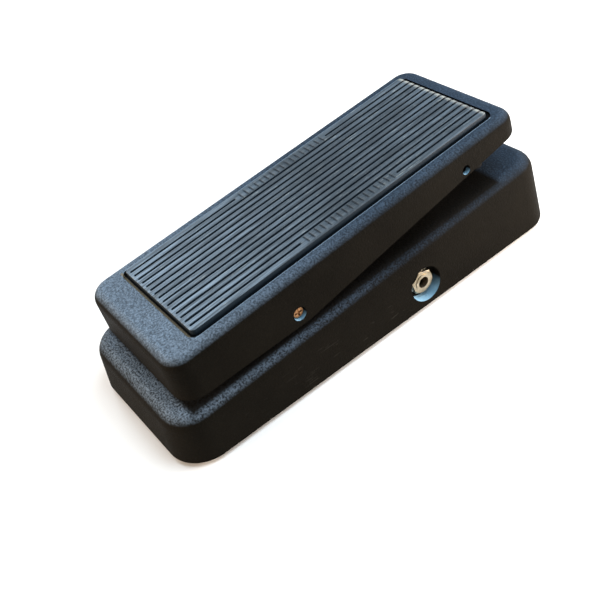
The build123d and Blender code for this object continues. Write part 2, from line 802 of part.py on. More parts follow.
def wire(name, points, radii):
    """Insulated lead along straight runs joined by tangent arcs."""
    path = FilletPolyline(*points, radius=radii)
    start = Plane(origin=path @ 0, z_dir=path % 0)
    lead = sweep(start * Circle(wire_radius), path=path)
    print(name, "length", round(path.length, 1), "volume ratio",
          round(lead.volume / (math.pi * wire_radius ** 2 * path.length), 3), "radii", radii)
    return lead


def wires():
    """Leads between the jacks and the potentiometer."""
    tip_z = jack_height + jack_bore_radius + contact_gap + contact_thickness / 2
    x_in, x_out, lug = contact_end_x(), -contact_end_x(), terminal_x()
    first, wiper, ground = terminal_rows()
    end = terminal_end()
    signal_in = wire("input_signal_wire", [
        (x_in, jack_y, tip_z), (x_in - 6, jack_y, tip_z), (x_in - 11, jack_y + 9, 9),
        (lug - 1, first - 8.4, 5.5), (lug, first, 4.5), (lug, first, end)], [2.5, 5.0, 4.0, 3.0])
    signal_out = wire("output_signal_wire", [
        (x_out, jack_y, tip_z), (x_out + 5, jack_y, tip_z), (x_out + 5.5, jack_y - 1, 5.5),
        (lug - 5, wiper - 17.4, 4), (lug - 4, wiper - 7, 4), (lug, wiper, 4), (lug, wiper, end)],
        [2.2, 3.0, 5.0, 3.5, 2.6])
    side = jack_leg_width / 2 - 1.5
    link = wire("ground_link_wire", [
        (leg_end_x(), jack_y - side, leg_height()), (leg_end_x() - 7, jack_y - side, leg_height()),
        (0, jack_y - side - 5, leg_height() + 4), (7 - leg_end_x(), jack_y - side, leg_height()),
        (-leg_end_x(), jack_y - side, leg_height())], [6.0, 12.0, 6.0])
    out_leg = -leg_end_x() - leg_solder_inset
    pot_ground = wire("pot_ground_wire", [
        (out_leg, jack_y + jack_leg_width / 2, leg_height()),
        (out_leg, jack_y + jack_leg_width / 2 + 6, leg_height()), (out_leg - 4, ground - 17.4, 9),
        (lug - 6, ground - 3, 4.5), (lug, ground, 4.5), (lug, ground, end)], [4.0, 7.0, 3.5, 2.8])
    return signal_in, signal_out, link, pot_ground


def build():
    """All nodes by name, in the housing frame."""
    places = bumper_places()
    tension_screw, tension_pad = tension_parts()
    washer, nut = pot_fixings()
    nodes = {
        "base_housing": base_housing(), "bottom_plate": bottom_plate(), "rubber_feet": rubber_feet(),
        "foot_screws": foot_screws(), "pivot_bushings": pivot_bushings(),
        "tension_screw": tension_screw, "tension_pad": tension_pad,
        "heel_bumpers": bumpers(places[:2]), "toe_bumpers": bumpers(places[2:]),
        "pot_bracket": pot_bracket(), "bracket_screws": bracket_screws(), "pot_body": pot_body(),
        "pot_terminals": pot_terminals(), "pot_washer": washer, "pot_nut": nut,
        "rack_guide": rack_guide(), "guide_screws": guide_screws(),
        "treadle_shell": treadle_shell(), "tread_pad": tread_pad(), "pivot_shaft": pivot_shaft(),
        "pivot_screws": pivot_screws(), "rack_pin": rack_pin(), "rack_pin_clips": rack_pin_clips(),
        "toothed_rack": toothed_rack(), "pot_shaft": pot_shaft(), "pinion_gear": pinion_gear(),
        "pinion_grub_screw": pinion_grub_screw(),
    }
    pieces = ("frame", "insulator", "contact", "washer", "nut")
    for jack, side in (("input_jack", 1), ("output_jack", -1)):
        for piece, shape in zip(pieces, jack_parts(side)):
            nodes[f"{jack}_{piece}"] = shape
    names = ("input_signal_wire", "output_signal_wire", "ground_link_wire", "pot_ground_wire")
    nodes.update(zip(names, wires()))
    return nodes


os.makedirs("parts", exist_ok=True)
for node, shape in build().items():
    export_step(Pos(0, 0, foot_height) * shape, f"parts/{node}.step")
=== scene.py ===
import bmesh
import bpy
import json
import math
from mathutils import Matrix, Vector


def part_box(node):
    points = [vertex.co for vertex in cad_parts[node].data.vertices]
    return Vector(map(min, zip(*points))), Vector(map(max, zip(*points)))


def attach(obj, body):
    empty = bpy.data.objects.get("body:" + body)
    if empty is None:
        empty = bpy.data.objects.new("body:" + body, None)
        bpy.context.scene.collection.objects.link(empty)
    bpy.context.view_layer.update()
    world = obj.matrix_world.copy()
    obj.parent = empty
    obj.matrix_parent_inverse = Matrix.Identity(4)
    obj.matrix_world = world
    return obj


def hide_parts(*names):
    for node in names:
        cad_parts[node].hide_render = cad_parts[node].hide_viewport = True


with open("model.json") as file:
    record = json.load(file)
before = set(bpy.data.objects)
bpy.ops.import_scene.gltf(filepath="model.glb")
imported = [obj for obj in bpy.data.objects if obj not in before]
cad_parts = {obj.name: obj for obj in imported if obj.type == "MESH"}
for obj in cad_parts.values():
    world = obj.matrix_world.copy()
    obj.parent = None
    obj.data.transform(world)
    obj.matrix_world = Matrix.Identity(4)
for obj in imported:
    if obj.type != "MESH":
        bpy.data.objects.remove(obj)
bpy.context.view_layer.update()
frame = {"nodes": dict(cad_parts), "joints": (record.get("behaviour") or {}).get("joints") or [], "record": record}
nodes = frame["nodes"]
record = frame["record"]
rocker = next(j for j in frame["joints"] if j["name"] == "rocker")
pivot = Vector(rocker["pos_m"])

MM = 0.001

# ---- Camera: angles in degrees, focal length in millimetres, the rest in metres ----
AZIMUTH = 63.57
ELEVATION = 41.09
ROLL = -16.29
CAMERA_DISTANCE = 0.47195
CAMERA_TARGET = Vector((0.00744, -0.02339, 0.01633))
FOCAL_LENGTH = 53.02

# ---- Tread pad, in the treadle's own frame ----
RIBS = 16
GROOVE_WIDTH = 1.0 * MM
GROOVE_DEPTH = 1.1 * MM
RIB_ROUND = 0.30 * MM
RIB_CROWN = 0.10 * MM
HEEL_LIP = 1.8 * MM
LIP_SOFT = 0.4 * MM
PAD_CORNER = 2.5 * MM
PAD_EDGE_ROUND = 0.5 * MM
PAD_SIDE_STRIP = 3 * MM
TOE_ROLL = 2.6 * MM
TOE_ROLL_DROP = 0.7 * MM
PANEL_START = 20 * MM
PANEL_LENGTH = 63 * MM
PANEL_SOFT = 0.5 * MM
BAR_PITCH = 3.5 * MM
BAR_SLOT = 0.9 * MM
BAR_REACH = 0.7
BAR_END_SOFT = 0.25 * MM
BAR_SIDE_SOFT = 0.2 * MM
BAR_DEPTH_SHARE = 0.5
SHARP_ANGLE = 50

# ---- Spacing of the pad's mesh, finest where its height changes ----
ACROSS_STEP = 1.1 * MM
ALONG_STEP = 4 * MM
CLOSEST = 0.04 * MM
WELD = 0.004 * MM
EDGE_OFFSETS = [o * MM for o in (0.08, 0.2, 0.35, 0.5)]
GROOVE_OFFSETS = [o * MM for o in (0.2, 0.38, 0.5, 0.62, 0.75, 0.9)]
BAR_OFFSETS = [o * MM for o in (0.25, 0.4, 0.55, 0.7)]
LIP_OFFSETS = [o * MM for o in (1.2, 1.4, 1.8, 2.2)]
ROLL_OFFSETS = [o * MM for o in (0.9, 1.4, 2.0, 2.6)]
PANEL_OFFSETS = [o * MM for o in (-0.6, -0.2, 0.2, 0.6)]

# ---- Places of dirt, painted shade, highlights and reflections on the shells ----
PAD_GAP = 2.4 * MM
PAD_PROUD = 2.2 * MM
CUP_RADIUS = 9.9 * MM
SCREW_HOLE_RADIUS = 3.9 * MM
PIN_HOLE_RADIUS = 2.8 * MM
HOLE_DEPTH = 5 * MM

# ---- Powder coat: texture scales in cells per metre, and how dust and its painted sky sheen lie on it ----
COAT_GRAIN = 1050
COAT_FINE_GRAIN = 2600
COAT_BLOTCH = 24
DUST_AND_SHEEN_FULL_Y = -115 * MM
DUST_AND_SHEEN_LEAST_Y = 20 * MM
EVENED_START_Y = -30 * MM
EVENED_END_Y = 110 * MM
UPWARD_START = 0.52
UPWARD_FULL = 0.96
HOUSING_TOE_DUST_AND_SHEEN = 0.25
HOUSING_PITS = 0.12
TREADLE_TOE_DUST_AND_SHEEN = 0.36
TREADLE_PITS = 0.35
PLATE_TOE_DUST_AND_SHEEN = 0.3
PLATE_PITS = 0.35

# ---- Linear colours ----
COAT_DARK = (0.0050, 0.0042, 0.0030)
COAT_LIGHT = (0.0078, 0.0066, 0.0048)
# Dust with a painted cool sky sheen on upward faces; the heel's is paler, a painted highlight.
DUST_AND_SHEEN_TOE = (0.105, 0.175, 0.275)
DUST_AND_SHEEN_HEEL = (0.190, 0.248, 0.315)
# Painted sky reflection on the upward walls of holes.
HOLE_SKY_REFLECTION = (0.20, 0.35, 0.46)
# Painted shade on the recess's sunken floor.
RECESS_SHADE = (0.006, 0.006, 0.006)
SCRATCHED_COAT = (0.09, 0.085, 0.07)
TAN_DIRT = (0.20, 0.165, 0.11)
# Painted highlight along the recess's side edges.
EDGE_HIGHLIGHT = (0.20, 0.27, 0.34)
PAD_DARK = (0.021, 0.029, 0.036)
PAD_LIGHT = (0.033, 0.045, 0.055)
# Rib-top dust and wear with a painted highlight, mostly at the heel.
PAD_DUST_AND_SHEEN = (0.265, 0.350, 0.435)
PAD_SCUFF = (0.34, 0.37, 0.36)
PAD_TIP = (0.42, 0.42, 0.37)
# Painted shade in the pad's grooves and on its steep faces.
PAD_SHADE = (0.0055, 0.0125, 0.0200)
RUBBER_DUST = (0.20, 0.215, 0.22)


# ---- Camera, floor and light ----
def camera():
    """Three-quarter view from above the heel's right-hand corner, slightly rolled."""
    azimuth, elevation, roll = map(math.radians, (AZIMUTH, ELEVATION, ROLL))
    back = Vector((math.sin(azimuth) * math.cos(elevation), -math.cos(azimuth) * math.cos(elevation),
                   math.sin(elevation)))
    across = Vector((0, 0, 1)).cross(back).normalized()
    up = back.cross(across)
    right = math.cos(roll) * across + math.sin(roll) * up
    top = back.cross(right)
    data = bpy.data.cameras.new("camera")
    data.sensor_width = 36
    data.lens = FOCAL_LENGTH
    data.clip_start = 0.01
    obj = bpy.data.objects.new("camera", data)
    bpy.context.scene.collection.objects.link(obj)
    turn = Matrix((right, top, back)).transposed().to_4x4()
    obj.matrix_world = Matrix.Translation(CAMERA_TARGET + CAMERA_DISTANCE * back) @ turn
    bpy.context.scene.camera = obj


def area_light(name, place, target, size, power, colour):
    """Soft rectangular light aimed at a point, with its power in watts."""
    data = bpy.data.lights.new(name, "AREA")
    data.shape = "RECTANGLE"
    data.size, data.size_y = size
    data.energy = power
    data.color = colour
    obj = bpy.data.objects.new(name, data)
    bpy.context.scene.collection.objects.link(obj)
    obj.location = place
    obj.rotation_euler = (Vector(target) - Vector(place)).to_track_quat("-Z", "Y").to_euler()


def lay_floor():
    """Pale floor, just below the feet's undersides."""
    bpy.ops.mesh.primitive_grid_add(x_subdivisions=40, y_subdivisions=40, size=6)
    floor = bpy.context.object
    floor.name = "studio_floor"
    mat, nt, shader = new_material("studio_floor")
    noise = texture(nt, "ShaderNodeTexNoise", 3.0, Detail=4.0)
    ramp = colour_ramp(nt, noise.outputs["Fac"], [(0.3, (0.90, 0.87, 0.83)), (0.7, (0.93, 0.90, 0.86))])
    nt.links.new(ramp.outputs["Color"], shader.inputs["Base Color"])
    shader.inputs["Roughness"].default_value = 0.9
    shader.inputs["Specular IOR Level"].default_value = 0.1
    floor.data.materials.append(mat)
    floor.location.z = -0.2 * MM


def studio():
    """Warm surroundings, two cool soft panels, and warm fills at the heel and the toe."""
    lay_floor()
    world = bpy.data.worlds.new("studio_world")
    bpy.context.scene.world = world
    world.use_nodes = True
    background = world.node_tree.nodes["Background"]
    background.inputs["Color"].default_value = (1.0, 0.96, 0.91, 1)
    background.inputs["Strength"].default_value = 0.48
    area_light("window_left", (-1.15, -0.10, 0.90), (0, -0.05, 0.05), (0.9, 0.7), 15, (0.74, 0.87, 1.0))
    area_light("overhead", (0.30, 0.42, 1.15), (0, 0, 0.04), (0.8, 0.6), 13, (0.66, 0.84, 1.0))
    area_light("heel_fill", (-0.35, -1.2, 0.22), (0, -0.10, 0.03), (0.7, 0.3), 18, (1.0, 0.76, 0.55))
    area_light("toe_fill", (0.24, 0.30, 0.10), (0.05, 0.12, 0.03), (0.16, 0.10), 2.7, (1.0, 0.90, 0.84))
    bpy.context.scene.view_settings.view_transform = "Standard"


# ---- Material building blocks ----
def new_material(name):
    """Material with an unlinked Principled shader."""
    mat = bpy.data.materials.new(name)
    mat.use_nodes = True
    nt = mat.node_tree
    shader = nt.nodes["Principled BSDF"]
    return mat, nt, shader


def texture(nt, kind, scale, **inputs):
    """Texture node in object space, at a scale in cells per metre."""
    node = nt.nodes.new(kind)
    coords = nt.nodes.new("ShaderNodeTexCoord")
    nt.links.new(coords.outputs["Object"], node.inputs["Vector"])
    node.inputs["Scale"].default_value = scale
    for name, value in inputs.items():
        node.inputs[name].default_value = value
    return node


def stretched(nt, scale, **inputs):
    """Noise in object space, with its own cells per metre along each axis."""
    node = texture(nt, "ShaderNodeTexNoise", 1.0, **inputs)
    coords = nt.nodes.new("ShaderNodeTexCoord")
    mapping = nt.nodes.new("ShaderNodeMapping")
    mapping.inputs["Scale"].default_value = scale
    nt.links.new(coords.outputs["Object"], mapping.inputs["Vector"])
    nt.links.new(mapping.outputs["Vector"], node.inputs["Vector"])
    return node


def colour_ramp(nt, factor, stops):
    """Ramp from a factor through (position, colour) stops."""
    ramp = nt.nodes.new("ShaderNodeValToRGB")
    for element, (position, colour) in zip(ramp.color_ramp.elements, stops):
        element.position = position
        element.color = (*colour, 1)
    nt.links.new(factor, ramp.inputs["Fac"])
    return ramp


def value_ramp(nt, factor, low, high, start=0.0, end=1.0):
    """Maps a factor from start-end to low-high, clamped."""
    node = nt.nodes.new("ShaderNodeMapRange")
    for name, value in (("From Min", start), ("From Max", end), ("To Min", low), ("To Max", high)):
        node.inputs[name].default_value = value
    nt.links.new(factor, node.inputs["Value"])
    return node.outputs["Result"]


def maths(nt, operation, a, b):
    """Math node on two sockets or numbers."""
    node = nt.nodes.new("ShaderNodeMath")
    node.operation = operation
    for socket, value in zip(node.inputs, (a, b)):
        if isinstance(value, (int, float)):
            socket.default_value = value
        else:
            nt.links.new(value, socket)
    return node.outputs["Value"]


def mix(nt, factor, a, b):
    """Colour mix of two sockets or colours by a factor socket."""
    node = nt.nodes.new("ShaderNodeMix")
    node.data_type = "RGBA"
    nt.links.new(factor, node.inputs["Factor"])
    for socket, value in ((node.inputs["A"], a), (node.inputs["B"], b)):
        if isinstance(value, tuple):
            socket.default_value = (*value, 1)
        else:
            nt.links.new(value, socket)
    return node.outputs["Result"]


def bump(nt, shader, height, distance, strength):
    """Bump from a height socket into the shader's normal."""
    node = nt.nodes.new("ShaderNodeBump")
    node.inputs["Distance"].default_value = distance
    node.inputs["Strength"].default_value = strength
    nt.links.new(height, node.inputs["Height"])
    nt.links.new(node.outputs["Normal"], shader.inputs["Normal"])


def object_axes(nt):
    """X, Y and Z sockets of the place in object space."""
    coords = nt.nodes.new("ShaderNodeTexCoord")
    split = nt.nodes.new("ShaderNodeSeparateXYZ")
    nt.links.new(coords.outputs["Object"], split.inputs["Vector"])
    return split.outputs


def normal_axes(nt):
    """X, Y and Z sockets of the surface's normal."""
    geometry = nt.nodes.new("ShaderNodeNewGeometry")
    split = nt.nodes.new("ShaderNodeSeparateXYZ")
    nt.links.new(geometry.outputs["Normal"], split.inputs["Vector"])
    return split.outputs


def position_mask(nt, low, high, soft):
    """1 inside a box in object space, falling to 0 over a soft border."""
    place = object_axes(nt)
    result = None
    for axis, a, b in zip("XYZ", low, high):
        rise = value_ramp(nt, place[axis], 0, 1, a - soft, a)
        fall = value_ramp(nt, place[axis], 1, 0, b, b + soft)
        both = maths(nt, "MULTIPLY", rise, fall)
        result = both if result is None else maths(nt, "MULTIPLY", result, both)
    return result


# ---- Powder coat ----
def settled_dust_and_sheen(nt, heel, grain, blotch, pits, shaded):
    """Share of dust and painted sky sheen on upward faces: least in the grain's pits and in the shaded boxes,
    which get painted shade.
    """
    # Upward faces take dust together with a painted sky sheen.
    upward = value_ramp(nt, normal_axes(nt)["Z"], 0, 1, UPWARD_START, UPWARD_FULL)
    speck = value_ramp(nt, grain, pits, 1.0, 0.36, 0.64)
    evened = value_ramp(nt, object_axes(nt)["Y"], 0.0, 0.6, EVENED_START_Y, EVENED_END_Y)
    speck = maths(nt, "MAXIMUM", speck, evened)
    dust_and_sheen_share = maths(nt, "MULTIPLY", maths(nt, "MULTIPLY", upward, heel), speck)
    dust_and_sheen_share = maths(nt, "MULTIPLY", dust_and_sheen_share, value_ramp(nt, blotch, 0.8, 1.0, 0.35, 0.65))
    # The shaded boxes get painted shade: their dust and sheen are taken away.
    for low, high, soft in shaded:
        clear = value_ramp(nt, position_mask(nt, low, high, soft), 1.0, 0.04)
        dust_and_sheen_share = maths(nt, "MULTIPLY", dust_and_sheen_share, clear)
    return dust_and_sheen_share


def recess_shade_mask(nt, low, high, up, level):
    """1 inside a box and below a tilted plane, whose normal is up and whose height along it is level."""
    coords = nt.nodes.new("ShaderNodeTexCoord")
    dot = nt.nodes.new("ShaderNodeVectorMath")
    dot.operation = "DOT_PRODUCT"
    dot.inputs[1].default_value = up
    nt.links.new(coords.outputs["Object"], dot.inputs[0])
    sunk = value_ramp(nt, dot.outputs["Value"], 1, 0, level - 0.5 * MM, level - 0.2 * MM)
    return maths(nt, "MULTIPLY", sunk, position_mask(nt, low, high, 0.1 * MM))


def scratch_mask(nt, scratched):
    """1 on the thin marks inside (low, high, cells per metre) boxes."""
    result = None
    for low, high, cells in scratched:
        marks = stretched(nt, cells, Detail=2.0, Distortion=0.15)
        thin = value_ramp(nt, marks.outputs["Fac"], 0, 1, 0.66, 0.70)
        mark = maths(nt, "MULTIPLY", thin, position_mask(nt, low, high, 6 * MM))
        result = mark if result is None else maths(nt, "MAXIMUM", result, mark)
    return result


def powder_coat(name, toe_dust_and_sheen, pits, scratched=(), lines=(), shaded=(), lit_hole_walls=(), recess=None):
    """Coarse-grained black powder coat on die-cast metal.

    Dust with a painted sky sheen lies on upward faces, paler towards the heel as a painted highlight, and less
    towards the toe, in the pits and in the shaded boxes, which get painted shade. Lines are thin coloured boxes,
    for dirt and for painted highlights; lit_hole_walls get a painted sky reflection on upward walls of holes, and
    recess is a sunken floor with painted shade.
    """
    mat, nt, shader = new_material(name)
    grain = texture(nt, "ShaderNodeTexNoise", COAT_GRAIN, Detail=2.0, Roughness=0.55).outputs["Fac"]
    fine = texture(nt, "ShaderNodeTexNoise", COAT_FINE_GRAIN, Detail=2.0, Roughness=0.6).outputs["Fac"]
    blotch = texture(nt, "ShaderNodeTexNoise", COAT_BLOTCH, Detail=5.0, Roughness=0.65).outputs["Fac"]
    base = colour_ramp(nt, blotch, [(0.3, COAT_DARK), (0.7, COAT_LIGHT)]).outputs["Color"]
    # Dust and a painted highlight, fullest at the heel and least at the toe; the dust colour carries a painted sky
    # sheen.
    heel = value_ramp(nt, object_axes(nt)["Y"], 1.0, toe_dust_and_sheen, DUST_AND_SHEEN_FULL_Y, DUST_AND_SHEEN_LEAST_Y)
    dust = colour_ramp(nt, heel, [(0.25, DUST_AND_SHEEN_TOE), (0.9, DUST_AND_SHEEN_HEEL)]).outputs["Color"]
    base = mix(nt, settled_dust_and_sheen(nt, heel, grain, blotch, pits, shaded), base, dust)
    # Painted shade on the recess's sunken floor.
    if recess:
        base = mix(nt, recess_shade_mask(nt, *recess), base, RECESS_SHADE)
    for low, high, soft, colour in lines:
        line = maths(nt, "MULTIPLY", position_mask(nt, low, high, soft),
                     value_ramp(nt, fine, 0.35, 1.0, 0.35, 0.6))
        base = mix(nt, line, base, colour)
    # Painted sky reflection on the upward walls of holes.
    for low, high in lit_hole_walls:
        lit_wall = maths(nt, "MULTIPLY", position_mask(nt, low, high, 0.3 * MM),
                     value_ramp(nt, normal_axes(nt)["Z"], 0, 1, 0.15, 0.75))
        base = mix(nt, lit_wall, base, HOLE_SKY_REFLECTION)
    if scratched:
        base = mix(nt, maths(nt, "MULTIPLY", scratch_mask(nt, scratched), 0.2), base, SCRATCHED_COAT)
    nt.links.new(base, shader.inputs["Base Color"])
    nt.links.new(value_ramp(nt, blotch, 0.50, 0.64, 0.3, 0.7), shader.inputs["Roughness"])
    shader.inputs["Specular IOR Level"].default_value = 0.015
    relief = maths(nt, "ADD", grain, maths(nt, "MULTIPLY", fine, 0.35))
    bump(nt, shader, relief, 0.5 * MM, 0.7)
    return mat


# ---- Other materials ----
def rubber(name, tone, dusty):
    """Moulded rubber with streaks of pale dust."""
    mat, nt, shader = new_material(name)
    grain = texture(nt, "ShaderNodeTexNoise", 1400, Detail=3.0).outputs["Fac"]
    cloud = texture(nt, "ShaderNodeTexNoise", 55, Detail=8.0, Roughness=0.7).outputs["Fac"]
    streak = stretched(nt, (700, 38, 300), Detail=6.0, Roughness=0.7).outputs["Fac"]
    darker, lighter = (tuple(share * c for c in tone) for share in (0.8, 1.15))
    base = colour_ramp(nt, cloud, [(0.3, darker), (0.7, lighter)]).outputs["Color"]
    worn = maths(nt, "MULTIPLY", value_ramp(nt, streak, 0, 1, 0.45, 0.75),
                 value_ramp(nt, cloud, 0.3, 1, 0.35, 0.65))
    base = mix(nt, maths(nt, "MULTIPLY", worn, dusty), base, RUBBER_DUST)
    nt.links.new(base, shader.inputs["Base Color"])
    nt.links.new(value_ramp(nt, cloud, 0.5, 0.72, 0.3, 0.7), shader.inputs["Roughness"])
    shader.inputs["Specular IOR Level"].default_value = 0.1
    bump(nt, shader, maths(nt, "ADD", grain, streak), 0.08 * MM, 0.5)
    return mat


def pad_rubber(name, low, high):
    """Ribbed tread rubber: painted shade in the grooves and on steep faces, dusty rib tops, and pale wear with a
    painted highlight at both ends.
    """
    mat, nt, shader = new_material(name)
    place = object_axes(nt)
    grain = texture(nt, "ShaderNodeTexNoise", 1500, Detail=3.0).outputs["Fac"]
    cloud = texture(nt, "ShaderNodeTexNoise", 45, Detail=8.0, Roughness=0.7).outputs["Fac"]
    streak = stretched(nt, (620, 30, 200), Detail=6.0, Roughness=0.7).outputs["Fac"]
    scuffs = stretched(nt, (1400, 120, 200), Detail=3.0, Roughness=0.6).outputs["Fac"]
    base = colour_ramp(nt, cloud, [(0.3, PAD_DARK), (0.7, PAD_LIGHT)]).outputs["Color"]
    # Pale wear with a painted highlight at the ends, most at the heel.
    heel = value_ramp(nt, place["Y"], 1.0, 0.0, low.y + 10 * MM, low.y + 105 * MM)
    toe = value_ramp(nt, place["Y"], 0.0, 0.35, high.y - 90 * MM, high.y - 10 * MM)
    ends = maths(nt, "MAXIMUM", heel, toe)
    worn = maths(nt, "MULTIPLY", value_ramp(nt, streak, 0.15, 1.0, 0.42, 0.66),
                 value_ramp(nt, ends, 0.12, 1.0))
    base = mix(nt, maths(nt, "MULTIPLY", worn, 0.85), base, PAD_DUST_AND_SHEEN)
    scuff = maths(nt, "MULTIPLY", value_ramp(nt, scuffs, 0, 0.7, 0.58, 0.70),
                  value_ramp(nt, cloud, 0, 1, 0.46, 0.60))
    base = mix(nt, scuff, base, PAD_SCUFF)
    tips = maths(nt, "MULTIPLY", value_ramp(nt, place["Y"], 0, 0.9, high.y - 3.5 * MM, high.y - 1.2 * MM),
                 value_ramp(nt, cloud, 0.15, 1.0, 0.38, 0.58))
    base = mix(nt, tips, base, PAD_TIP)
    # Painted shade deep in the grooves and on steep flanks and sides.
    deep = value_ramp(nt, place["Z"], 1, 0, high.z - 0.75 * MM, high.z - 0.15 * MM)
    base = mix(nt, deep, base, PAD_SHADE)
    steep = value_ramp(nt, normal_axes(nt)["Z"], 1, 0, 0.45, 0.75)
    base = mix(nt, steep, base, PAD_SHADE)
    nt.links.new(base, shader.inputs["Base Color"])
    nt.links.new(value_ramp(nt, cloud, 0.45, 0.65, 0.3, 0.7), shader.inputs["Roughness"])
    shader.inputs["Specular IOR Level"].default_value = 0.22
    bump(nt, shader, maths(nt, "ADD", grain, streak), 0.15 * MM, 0.6)
    return mat


def metal(name, tone, dark, roughness):
    """Bare or plated metal with fine tool marks and tarnish."""
    mat, nt, shader = new_material(name)
    tarnish = texture(nt, "ShaderNodeTexNoise", 260, Detail=6.0, Roughness=0.7).outputs["Fac"]
    marks = stretched(nt, (900, 900, 900), Detail=4.0).outputs["Fac"]
    base = colour_ramp(nt, tarnish, [(0.35, dark), (0.62, tone)]).outputs["Color"]
    nt.links.new(base, shader.inputs["Base Color"])
    shader.inputs["Metallic"].default_value = 1.0
    nt.links.new(value_ramp(nt, tarnish, roughness + 0.16, roughness, 0.3, 0.7), shader.inputs["Roughness"])
    bump(nt, shader, marks, 0.04 * MM, 0.5)
    return mat


def plastic(name, tone, shade, roughness):
    """Moulded plastic or fibre board with a slight mottle."""
    mat, nt, shader = new_material(name)
    cloud = texture(nt, "ShaderNodeTexNoise", 180, Detail=5.0).outputs["Fac"]
    grain = texture(nt, "ShaderNodeTexNoise", 1500, Detail=2.0).outputs["Fac"]
    base = colour_ramp(nt, cloud, [(0.3, shade), (0.7, tone)]).outputs["Color"]
    nt.links.new(base, shader.inputs["Base Color"])
    nt.links.new(value_ramp(nt, cloud, roughness - 0.08, roughness + 0.08, 0.3, 0.7),
                 shader.inputs["Roughness"])
    bump(nt, shader, grain, 0.04 * MM, 0.4)
    return mat


def paint(name, material):
    """Gives a CAD node one material."""
    slots = nodes[name].data.materials
    slots.clear()
    slots.append(material)


# ---- Ribbed pad ----
def treadle_axes():
    """Matrix of the treadle's own frame: origin on the pivot, Y along the tread and Z out of it."""
    under = max(nodes["tread_pad"].data.polygons, key=lambda p: p.area).normal
    up = under.normalized() if under.z > 0 else -under.normalized()
    across = Vector((1, 0, 0))
    turn = Matrix((across, up.cross(across), up)).transposed().to_4x4()
    return Matrix.Translation(pivot) @ turn


def local_box(name, axes):
    """Lowest and highest corner of a CAD node in another frame."""
    points = [axes.inverted() @ v.co for v in nodes[name].data.vertices]
    return (Vector(min(p[i] for p in points) for i in range(3)),
            Vector(max(p[i] for p in points) for i in range(3)))


def smooth_step(value, start, end):
    """0 before start, 1 after end, smooth in between."""
    t = min(1.0, max(0.0, (value - start) / (end - start)))
    return t * t * (3 - 2 * t)


def round_drop(distance, radius):
    """Drop of a quarter-round edge at a distance in from its outer face."""
    return radius - math.sqrt(max(0.0, radius ** 2 - max(0.0, radius - distance) ** 2))


def sample_points(low, high, centres, offsets, step):
    """Sorted places between two ends: an even spread with extra ones round each centre."""
    count = max(2, int(round((high - low) / step)))
    places = [low + (high - low) * i / count for i in range(count + 1)]
    places += [c + sign * o for c in centres for o in offsets for sign in (-1, 1)]
    places = sorted(p for p in places if low - 1e-9 <= p <= high + 1e-9)
    kept = [low]
    for p in places:
        if p - kept[-1] > CLOSEST:
            kept.append(p)
    kept[-1] = high
    return kept


def groove_share(distance):
    """Share of the full depth at a distance from a groove's centre line."""
    return 1 - smooth_step(distance, GROOVE_WIDTH / 2 - RIB_ROUND * 0.4, GROOVE_WIDTH / 2 + RIB_ROUND)


def bar_share(x, y, high, pitch):
    """Share of the full depth that the panels' cross slots cut at a place."""
    bar = round((y - PANEL_START) / BAR_PITCH)
    if not 0 < bar < int(PANEL_LENGTH / BAR_PITCH):
        return 0.0
    band = abs(abs(x) - (high.x - pitch))
    inside = 1 - smooth_step(band, BAR_REACH * pitch - BAR_END_SOFT, BAR_REACH * pitch + BAR_END_SOFT)
    off = abs(y - PANEL_START - bar * BAR_PITCH)
    across = 1 - smooth_step(off, BAR_SLOT / 2 - BAR_SIDE_SOFT, BAR_SLOT / 2 + BAR_SIDE_SOFT)
    return BAR_DEPTH_SHARE * inside * across


def pad_height(x, y, low, high, centres):
    """Height of the pad's top above its full thickness, so 0 or less."""
    pitch = (high.x - low.x) / RIBS
    nearest = min(range(len(centres)), key=lambda i: abs(x - centres[i]))
    past_lip = smooth_step(y, low.y + HEEL_LIP - LIP_SOFT, low.y + HEEL_LIP + LIP_SOFT)
    groove = groove_share(abs(x - centres[nearest])) * past_lip
    if nearest in (0, len(centres) - 1):
        panel_end = PANEL_START + PANEL_LENGTH
        groove *= max(1 - smooth_step(y, PANEL_START - PANEL_SOFT, PANEL_START + PANEL_SOFT),
                      smooth_step(y, panel_end - PANEL_SOFT, panel_end + PANEL_SOFT))
    slot = bar_share(x, y, high, pitch)
    mid_rib = ((x - low.x) / pitch) % 1 - 0.5
    crown = RIB_CROWN * (2 * mid_rib) ** 2
    toe = TOE_ROLL_DROP * smooth_step(y, high.y - TOE_ROLL, high.y) ** 2
    return -GROOVE_DEPTH * max(groove, slot) - crown - toe


def pad_grid(low, high, centres):
    """Places across and along the pad where its mesh has points."""
    bars = [PANEL_START + BAR_PITCH * i for i in range(1, int(PANEL_LENGTH / BAR_PITCH))]
    xs = sample_points(low.x, high.x, centres, GROOVE_OFFSETS, ACROSS_STEP)
    xs += [low.x + o for o in EDGE_OFFSETS] + [high.x - o for o in EDGE_OFFSETS]
    ys = sample_points(low.y, high.y, bars, BAR_OFFSETS, ALONG_STEP)
    ys += [low.y + o for o in EDGE_OFFSETS + LIP_OFFSETS] + [high.y - o for o in EDGE_OFFSETS + ROLL_OFFSETS]
    ys += [edge + o for edge in (PANEL_START, PANEL_START + PANEL_LENGTH) for o in PANEL_OFFSETS]
    return sorted(set(xs)), sorted(set(ys))


def pad_top(mesh, low, high):
    """Rows of points over the pad's top, drawn in at its round corners and edges."""
    pitch = (high.x - low.x) / RIBS
    centres = [low.x + pitch * i for i in range(1, RIBS)]
    xs, ys = pad_grid(low, high, centres)
    rows = []
    for y in ys:
        end = min(y - low.y, high.y - y)
        half = high.x - round_drop(end, PAD_CORNER)
        row = []
        for x in xs:
            px = x * half / high.x if abs(x) > high.x - PAD_SIDE_STRIP else x
            px = max(-half, min(half, px))
            rim = min(half - abs(px), end)
            height = high.z + pad_height(px, y, low, high, centres) - round_drop(rim, PAD_EDGE_ROUND)
            row.append(mesh.verts.new((px, y, height)))
        rows.append(row)
    return rows


